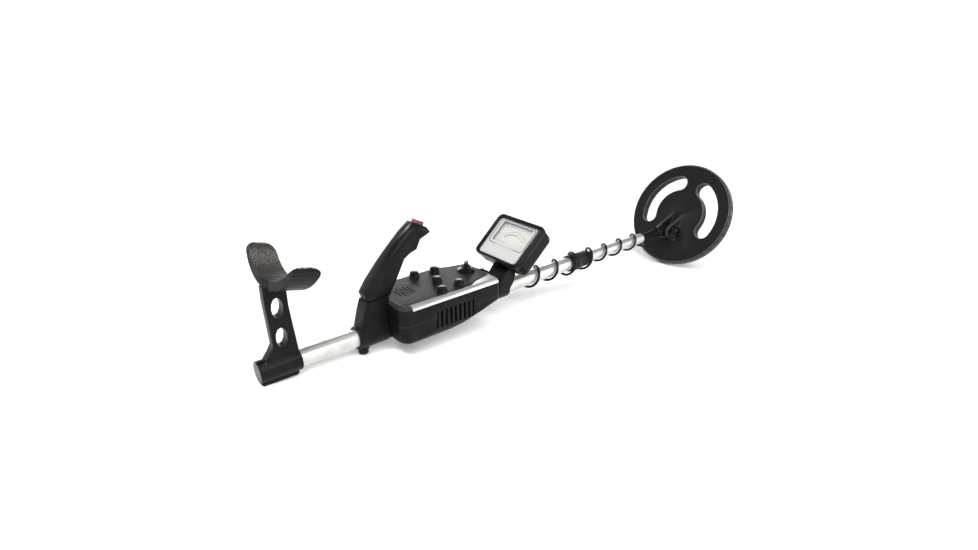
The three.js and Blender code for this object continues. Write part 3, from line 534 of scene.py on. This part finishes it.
nodeFinishes = {
    "arm_rest": ("arm", "black_plastic"), "rear_foot": ("soft", "soft_black"),
    "upper_tube": ("tube", "aluminium"), "stem_tube": ("tube", "aluminium"),
    "stem_bush": ("soft", "soft_black"), "stem_lock_body": ("lock", "black_plastic"),
    "stem_lock_collar": ("lock", "soft_black"), "handle_base": ("black", "black_plastic"),
    "grip_left": ("grip", "black_plastic"), "grip_right": ("grip", "black_plastic"),
    "clamp_knob": ("soft", "soft_black"), "grip_button": ("red", "red_plastic"),
    "button_spring": ("steel", "steel"), "button_switch": ("soft", "soft_black"),
    "housing_lower": ("housing", "black_plastic"), "housing_upper": ("housing", "black_plastic"),
    "trim_left": ("trim", "silver_paint"), "trim_right": ("trim", "silver_paint"),
    "control_panel": ("panel", "panel_grey"), "circuit_board": ("board", "circuit_green"),
    "speaker": ("soft", "soft_black"), "coil_socket": ("brass", "brass"),
    "headphone_jack": ("steel", "steel"), "cable_plug": ("soft", "soft_black"),
    "battery_left": ("battery", "battery_shell"), "battery_right": ("battery", "battery_shell"),
    "battery_door_left": ("housing", "black_plastic"), "battery_door_right": ("housing", "black_plastic"),
    "knob_rear_left": ("knob", "black_plastic"), "knob_rear_right": ("knob", "black_plastic"),
    "knob_front_left": ("knob", "black_plastic"), "knob_front_right": ("knob", "black_plastic"),
    "knob_middle": ("knob", "black_plastic"), "selector_knob": ("knob", "black_plastic"),
    "meter_case": ("meter", "black_plastic"), "meter_bezel": ("meter", "black_plastic"),
    "meter_faceplate": ("plate", "silver_paint"), "meter_window": ("lens", "clear_lens"),
    "meter_dial": ("dial", "dial_white"), "meter_movement": ("soft", "soft_black"),
    "meter_needle": ("mark", "soft_black"), "meter_neck": ("meter", "black_plastic"),
    "rod_end": ("black", "black_plastic"), "pivot_washer_left": ("soft", "soft_black"),
    "pivot_washer_right": ("soft", "soft_black"), "pivot_bolt": ("steel", "steel"),
    "pivot_knob": ("knob", "soft_black"), "coil_upper_shell": ("coil", "black_plastic"),
    "coil_lower_shell": ("coil", "black_plastic"), "coil_winding": ("copper", "copper"),
    "cable_gland": ("soft", "soft_black"),
}
shaped = {node: rounded(node, finish) for node, (finish, slotName) in nodeFinishes.items()}


def springGivesWay():
    # Works out the button's travel and the spring's lower end along the press axis and passes them on, but
    # own_mesh only gives the spring a mesh of its own; nothing shortens it.
    press = joints["button_press"]
    way = Vector(press["axis"]).normalized()
    corners = sorted((v.co.dot(way), v.index) for v in shaped["button_spring"].data.vertices)
    length = corners[-1][0] - corners[0][0]
    foot = shaped["button_spring"].data.vertices[corners[-1][1]].co
    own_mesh(shaped["button_spring"], "button_press", axis=way, anchor=foot,
              keep=1 - press["range_m"][1] / length)


springGivesWay()
print(len(nodeFinishes), "pieces finished from the solid model")


# ---- repeated details, made with geometry nodes ----------------------------
class Nodes:
    # A geometry tree with named number inputs.
    def __init__(self, name, sizes):
        self.tree = bpy.data.node_groups.new(name, "GeometryNodeTree")
        self.sizes, self.ids = sizes, {}
        for key in sizes:
            kind = "NodeSocketInt" if isinstance(sizes[key], int) else "NodeSocketFloat"
            self.ids[key] = self.tree.interface.new_socket(key, in_out="INPUT", socket_type=kind).identifier
        self.tree.interface.new_socket("Geometry", in_out="OUTPUT", socket_type="NodeSocketGeometry")
        self.start = self.tree.nodes.new("NodeGroupInput")

    def size(self, key):
        return self.start.outputs[key]

    def add(self, kind, settings=None, inputs=None, output=0):
        node = self.tree.nodes.new(kind)
        for key, value in (settings or {}).items():
            setattr(node, key, value)
        for key, value in (inputs or {}).items():
            if isinstance(value, bpy.types.NodeSocket):
                self.tree.links.new(value, node.inputs[key])
            else:
                node.inputs[key].default_value = value
        return node.outputs[output]

    def finishWith(self, geometry, finish, name, matrix, smooth=30, seed=None):
        real = self.add("GeometryNodeRealizeInstances", {}, {"Geometry": geometry})
        painted = self.add("GeometryNodeSetMaterial", {}, {
            "Geometry": real, "Material": finishes[finish].material})
        end = self.tree.nodes.new("NodeGroupOutput")
        self.tree.links.new(painted, end.inputs[0])
        holder = bpy.data.objects.new(name + "_seed", seed or bpy.data.meshes.new(name + "_seed"))
        bpy.context.collection.objects.link(holder)
        modifier = holder.modifiers.new("detail", "NODES")
        modifier.node_group = self.tree
        for key, value in self.sizes.items():
            modifier[self.ids[key]] = value
        bpy.context.view_layer.update()
        shown = holder.evaluated_get(bpy.context.evaluated_depsgraph_get())
        mesh = bpy.data.meshes.new_from_object(shown)
        holder.modifiers.clear()
        bpy.data.objects.remove(holder)
        mesh.transform(matrix)
        bm = bmesh.new()
        bm.from_mesh(mesh)
        bmesh.ops.remove_doubles(bm, verts=bm.verts, dist=1e-7)
        bm.to_mesh(mesh)
        bm.free()
        for polygon in mesh.polygons:
            polygon.use_smooth = True
        mesh.set_sharp_from_angle(angle=math.radians(smooth))
        return mesh


knobFlutes = {"count": 18, "ring": 0.00566, "ribRadius": 0.00042, "ribHeight": 0.0040, "rise": 0.0034}
knobSpots = {"knob_rear_left": (225, 33), "knob_rear_right": (225, -31), "knob_front_left": (255, 29),
             "knob_front_right": (255, -27.5), "knob_middle": (238, -1.5)}
knobMark = {"fluteHeight": 42.6, "height": 49.45, "turn": 2.2, "length": 2.4, "width": 0.5, "out": 2.2}
selectorMark = {"spot": (292.5, 5, 54.2), "turn": 0.86, "length": 6, "width": 0.8, "out": 3}
markSizes = {"thick": 0.0003, "bevel": 0.00008}


def ribRing(name, sizes, matrix, body, finish):
    # Small upright ribs in a ring round a knob.
    g = Nodes(name + "_ribs", sizes)
    ring = g.add("GeometryNodeMeshCircle", {}, {"Vertices": g.size("count"), "Radius": g.size("ring")})
    lifted = g.add("ShaderNodeCombineXYZ", {}, {"Z": g.size("rise")})
    ring = g.add("GeometryNodeSetPosition", {}, {"Geometry": ring, "Offset": lifted})
    rib = g.add("GeometryNodeMeshCylinder", {}, {"Vertices": 8, "Radius": g.size("ribRadius"),
                                                "Depth": g.size("ribHeight")})
    ribs = g.add("GeometryNodeInstanceOnPoints", {}, {"Points": ring, "Instance": rib})
    mesh = g.finishWith(ribs, finish, name, matrix)
    return newPiece(name, mesh, finish, body)


def pointerMark(name, sizes, spot, body):
    # A faint raised line on a knob's top, turned about its middle and moved out along itself.
    matrix = shaftMatrix @ Matrix.Translation(Vector(spot) / 1000) @ Matrix.Rotation(sizes["turn"], 4, "Z")
    matrix = matrix @ Matrix.Translation((sizes["out"] / 1000, 0, 0))
    bm = bmesh.new()
    bmesh.ops.create_cube(bm, size=1.0)
    size = (sizes["length"] / 1000, sizes["width"] / 1000, markSizes["thick"])
    bmesh.ops.scale(bm, verts=bm.verts, vec=size)
    bmesh.ops.bevel(bm, geom=bm.edges[:], offset=markSizes["bevel"], segments=1, affect="EDGES")
    bm.transform(matrix)
    mesh = bpy.data.meshes.new(name)
    bm.to_mesh(mesh)
    bm.free()
    return newPiece(name, mesh, "faintMark", body)


for node, (kx, ky) in knobSpots.items():
    top = shaftMatrix @ Matrix.Translation(Vector((kx, ky, knobMark["fluteHeight"])) / 1000)
    ribRing(node + "_flutes", knobFlutes, top, bodyOf(node), "knob")
    pointerMark(node + "_mark", knobMark, (kx, ky, knobMark["height"]), bodyOf(node))
pointerMark("selector_knob_mark", selectorMark, selectorMark["spot"], "selector")
print("knobs detailed")

dialMarks = {"count": 21, "reach": 0.0315, "halfSweep": 0.82, "long": 0.0022, "wide": 0.00035}


def dialTicks():
    # Short printed lines along the scale, each pointing at the needle's axis.
    g = Nodes("dialMarks", dialMarks)
    line = g.add("GeometryNodeMeshLine", {"mode": "OFFSET"}, {
        "Count": g.size("count"), "Start Location": (0, 0, 0), "Offset": (0, 0, 0)})
    order = g.add("GeometryNodeInputIndex")
    last = g.add("ShaderNodeMath", {"operation": "SUBTRACT"}, {0: g.size("count"), 1: 1.0})
    share = g.add("ShaderNodeMath", {"operation": "DIVIDE"}, {0: order, 1: last})
    both = g.add("ShaderNodeMath", {"operation": "MULTIPLY_ADD"}, {0: share, 1: 2.0, 2: -1.0})
    angle = g.add("ShaderNodeMath", {"operation": "MULTIPLY"}, {0: both, 1: g.size("halfSweep")})
    cosine = g.add("ShaderNodeMath", {"operation": "COSINE"}, {0: angle})
    sine = g.add("ShaderNodeMath", {"operation": "SINE"}, {0: angle})
    px = g.add("ShaderNodeMath", {"operation": "MULTIPLY"}, {0: cosine, 1: g.size("reach")})
    py = g.add("ShaderNodeMath", {"operation": "MULTIPLY"}, {0: sine, 1: g.size("reach")})
    spot = g.add("ShaderNodeCombineXYZ", {}, {"X": px, "Y": py})
    points = g.add("GeometryNodeSetPosition", {}, {"Geometry": line, "Position": spot})
    size = g.add("ShaderNodeCombineXYZ", {}, {"X": g.size("long"), "Y": g.size("wide"), "Z": 0.0001})
    tick = g.add("GeometryNodeMeshCube", {}, {"Size": size})
    turn = g.add("ShaderNodeCombineXYZ", {}, {"Z": angle})
    ticks = g.add("GeometryNodeInstanceOnPoints", {}, {"Points": points, "Instance": tick, "Rotation": turn})
    face = meterFrame @ Matrix.Translation(Vector((-12, 0, -6.93)) / 1000)
    mesh = g.finishWith(ticks, "tick", "dial_marks", face)
    return newPiece("dial_marks", mesh, "tick", bodyOf("meter_dial"))


dialTicks()
print("dial marked")

ventRibs = {"count": 8, "pitch": 0.0073, "thick": 0.0014, "tall": 0.0205, "deep": 0.0012}


def ribsBetweenVents(side):
    # Raised upright ribs between the slots, in a straight row along the box.
    g = Nodes("ventRibs", ventRibs)
    step = g.add("ShaderNodeCombineXYZ", {}, {"X": g.size("pitch")})
    row = g.add("GeometryNodeMeshLine", {"mode": "OFFSET"}, {"Count": g.size("count"), "Offset": step})
    size = g.add("ShaderNodeCombineXYZ", {}, {"X": g.size("thick"), "Y": g.size("deep"), "Z": g.size("tall")})
    rib = g.add("GeometryNodeMeshCube", {}, {"Size": size, "Vertices X": 2, "Vertices Y": 2, "Vertices Z": 8})
    ribs = g.add("GeometryNodeInstanceOnPoints", {}, {"Points": row, "Instance": rib})
    spot = shaftMatrix @ Matrix.Translation(Vector((210.65, side * 44.75, 12.6)) / 1000)
    name = "vent_ribs_left" if side > 0 else "vent_ribs_right"
    mesh = g.finishWith(ribs, "lock", name, spot)
    return newPiece(name, mesh, "lock", bodyOf("housing_upper"))


ribsBetweenVents(1)
ribsBetweenVents(-1)
print("vents detailed")

# ---- the coil cable --------------------------------------------------------
cableWay = {"radius": 2.0, "slack": 1.2, "pitch": 41.6, "firstTop": 429, "start": 398, "end": 696,
            "plugEnd": 339.3, "socketY": 22.5, "socketZ": 23.7, "reach": 9, "giveFrom": 556, "giveTo": 692}
shaftLine = {"tube": 11.0, "lockRear": 501, "lock": 13.4, "lockMid": 513, "lockWide": 14.2, "lockFront": 552,
             "lockNarrow": 11.0, "stem": 9.0, "stemFront": 703, "rodEnd": 10.6}


def surfaceAt(x):
    # The radius that the cable lies on: tube, lock body, tapering collar, stem, then the rod end.
    s = shaftLine
    if x > s["stemFront"]:
        return s["rodEnd"]
    if x > s["lockFront"]:
        return s["stem"]
    if x > s["lockMid"]:
        taper = (s["lockNarrow"] - s["lockWide"]) * (x - s["lockMid"]) / (s["lockFront"] - s["lockMid"])
        return s["lockWide"] + taper
    return s["lock"] if x > s["lockRear"] else s["tube"]


def woundPoint(x):
    angle = math.pi / 2 - 2 * math.pi * (x - cableWay["firstTop"]) / cableWay["pitch"]
    near = max(surfaceAt(x - cableWay["reach"]), surfaceAt(x + cableWay["reach"]))
    r = near + cableWay["radius"] + cableWay["slack"]
    return Vector((x, r * math.cos(angle), r * math.sin(angle)))


def smoothed(points, steps):
    # A Catmull-Rom curve through the points.
    padded = [2 * points[0] - points[1], *points, 2 * points[-1] - points[-2]]
    found = []
    for i in range(1, len(padded) - 2):
        a, b, c, d = padded[i - 1:i + 3]
        for k in range(steps):
            t = k / steps
            found.append(0.5 * (2 * b + (c - a) * t + (2 * a - 5 * b + 4 * c - d) * t * t
                                + (3 * b - a - 3 * c + d) * t ** 3))
    return found + [padded[-2]]


def tube(name, points, radius, finish, sides=14):
    # A round tube with flat ends, swept without twisting.
    bm = bmesh.new()
    side = None
    rows = []
    for i, p in enumerate(points):
        way = (points[min(i + 1, len(points) - 1)] - points[max(i - 1, 0)]).normalized()
        if side is None:
            side = way.orthogonal().normalized()
        side = (side - way * side.dot(way)).normalized()
        other = way.cross(side)
        rows.append([bm.verts.new(p + radius * (math.cos(a) * side + math.sin(a) * other))
                     for a in (2 * math.pi * k / sides for k in range(sides))])
    for low, high in zip(rows, rows[1:]):
        for i in range(sides):
            j = (i + 1) % sides
            bm.faces.new((low[i], low[j], high[j], high[i]))
    bm.faces.new(rows[0][::-1])
    bm.faces.new(rows[-1])
    bmesh.ops.recalc_face_normals(bm, faces=bm.faces)
    mesh = bpy.data.meshes.new(name)
    bm.to_mesh(mesh)
    bm.free()
    for polygon in mesh.polygons:
        polygon.use_smooth = len(polygon.vertices) == 4
    return newPiece(name, mesh, finish)


def makeCable():
    c = cableWay
    end = c["plugEnd"]  # the lead starts inside the plug and drops steeply beside the meter's neck
    lead = [Vector(p) for p in (
        (end - 8, c["socketY"], c["socketZ"]), (end + 5, c["socketY"], c["socketZ"] - 2.5),
        (end + 12, 22, 13), (end + 24, 20.5, 6), (end + 38, 19, 3.5))]
    turns = int((c["end"] - c["start"]) / (c["pitch"] / 14))
    wound = [woundPoint(c["start"] + (c["end"] - c["start"]) * i / turns) for i in range(turns + 1)]
    way = [place(*p) for p in smoothed(lead + wound, 3)]
    main = tube("coil_cable_run", way, c["radius"] / 1000, "cable")
    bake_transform(main)
    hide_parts("coil_cable", "coil_cable_stem")
    return way[-1]


cableEnd = makeCable()
print("cable wound")
tailWay = {"radius": 2.0, "gland": (-40, 24), "inside": 2, "top": 3, "lift": 9,
           "under": [(700, -8, -12.2), (708, -5, -13.5), (720, 5, -14.5), (735, 14, -12),
                     (751, 20, -9), (766, 23.5, -7), (782, 24.5, -6)]}


def makeTail():
    t = tailWay
    inShaft = shaftMatrix.inverted()
    first = inShaft @ cableEnd * 1000
    gx, gy = t["gland"]
    glandTop = inShaft @ coilFrame @ (Vector((gx, gy, t["inside"])) / 1000) * 1000
    above = inShaft @ coilFrame @ (Vector((gx, gy, t["top"] + t["lift"])) / 1000) * 1000
    points = [first, *[Vector(p) for p in t["under"]], above, glandTop]
    way = [place(*p) for p in smoothed(points, 8)]
    piece = tube("coil_cable_tail_run", way, t["radius"] / 1000, "cable")
    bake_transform(piece)
    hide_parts("coil_cable_tail")


makeTail()
print("cable tail made")

coilEdges = {"turn": 50, "radius": 0.00042, "sides": 8, "ringSteps": 120, "lowest": -0.3, "within": 90}
coilRings = [(97.5, -0.1), (99.55, -2.8), (99.55, -8.65), (99.55, -14.3)]  # radius and height on the coil


def edgeSeed(matrix, keep):
    # The upper shell's sharp edges that pass the test, as bare edges in the coil's own frame.
    bm = bmesh.new()
    bm.from_mesh(shaped["coil_upper_shell"].data)
    bm.transform(matrix.inverted())
    spare = [e for e in bm.edges if len(e.link_faces) != 2
             or e.calc_face_angle() < math.radians(coilEdges["turn"])
             or not all(keep(v.co * 1000) for v in e.verts)]
    bmesh.ops.delete(bm, geom=bm.faces[:], context="FACES_ONLY")
    bmesh.ops.delete(bm, geom=spare, context="EDGES")
    bmesh.ops.delete(bm, geom=[v for v in bm.verts if not v.link_edges], context="VERTS")
    mesh = bpy.data.meshes.new("coil_edges_seed")
    bm.to_mesh(mesh)
    bm.free()
    return mesh


def beadAlong(name, seed):
    # A fine round bead that follows bare edges, pale to paint a highlight on them.
    g = Nodes(name, {"radius": coilEdges["radius"], "sides": coilEdges["sides"]})
    start = g.tree.interface.new_socket("Geometry", in_out="INPUT", socket_type="NodeSocketGeometry")
    g.tree.interface.move(start, 0)
    curve = g.add("GeometryNodeMeshToCurve", {}, {"Mesh": g.start.outputs["Geometry"]})
    ring = g.add("GeometryNodeCurvePrimitiveCircle", {}, {
        "Resolution": g.size("sides"), "Radius": g.size("radius")})
    bead = g.add("GeometryNodeCurveToMesh", {}, {"Curve": curve, "Profile Curve": ring, "Fill Caps": True})
    mesh = g.finishWith(bead, "coilEdge", name, coilFrame, 60, seed)
    newPiece(name, mesh, "coilEdge", bodyOf("coil_upper_shell"))


def ringSeed():
    # The coil's round edges, as bare rings in its own frame.
    bm = bmesh.new()
    steps = coilEdges["ringSteps"]
    for radius, height in coilRings:
        turns = [bm.verts.new((radius * math.cos(a) / 1000, radius * math.sin(a) / 1000, height / 1000))
                 for a in (2 * math.pi * k / steps for k in range(steps))]
        for a, b in zip(turns, turns[1:] + turns[:1]):
            bm.edges.new((a, b))
    mesh = bpy.data.meshes.new("coil_rings_seed")
    bm.to_mesh(mesh)
    bm.free()
    return mesh


def onTopFace(p):
    return p.z > coilEdges["lowest"] and math.hypot(p.x, p.y) < coilEdges["within"]


beadAlong("coil_edge_beads", edgeSeed(coilFrame, onTopFace))
beadAlong("coil_ring_beads", ringSeed())
print("coil detailed")

# ---- floor -----------------------------------------------------------------
floorSizes = {"flat": 6.0, "bend": 2.5, "rise": 2.2, "sides": 96, "below": 0.0002}


def makeFloor():
    # A pale round floor whose rim curves up into a backdrop on every side.
    bm = bmesh.new()
    flat, bend, sides = floorSizes["flat"], floorSizes["bend"], floorSizes["sides"]
    line = [(flat * k / 3, 0) for k in (1, 2, 3)]
    line += [(flat + math.sin(a) * bend, bend - math.cos(a) * bend)
             for a in (k * math.pi / 24 for k in range(1, 13))]
    line += [(flat + bend, bend + floorSizes["rise"])]
    turns = [2 * math.pi * k / sides for k in range(sides)]
    below = floorSizes["below"]
    rows = [[bm.verts.new((d * math.cos(a), d * math.sin(a), h - below)) for a in turns] for d, h in line]
    bm.faces.new(rows[0])
    for low, high in zip(rows, rows[1:]):
        for k in range(sides):
            m = (k + 1) % sides
            bm.faces.new((low[m], low[k], high[k], high[m]))
    mesh = bpy.data.meshes.new("floor")
    bm.to_mesh(mesh)
    bm.free()
    for polygon in mesh.polygons:
        polygon.use_smooth = True
    floor = bpy.data.objects.new("floor", mesh)
    paint = Finish("floorPaint", Roughness=0.7, Specular_IOR_Level=0.1, Emission_Strength=0.4)
    at = paint.spot()
    cloud = paint.noise(at, 0.002, 2)
    x, y, z = at.parts()
    far = ((x * x + y * y) ** 0.5).fade(1300, 3200)
    paint.feed(paint.shader.inputs["Emission Color"], paint.blend(far, (0, 0, 0), (1, 1, 1)))
    paint.surface(paint.blend(cloud, (0.90, 0.90, 0.90), (0.93, 0.93, 0.93)), edge=0)
    mesh.materials.append(paint.material)
    bpy.context.collection.objects.link(floor)


makeFloor()
print("floor made")

print("all pieces made")
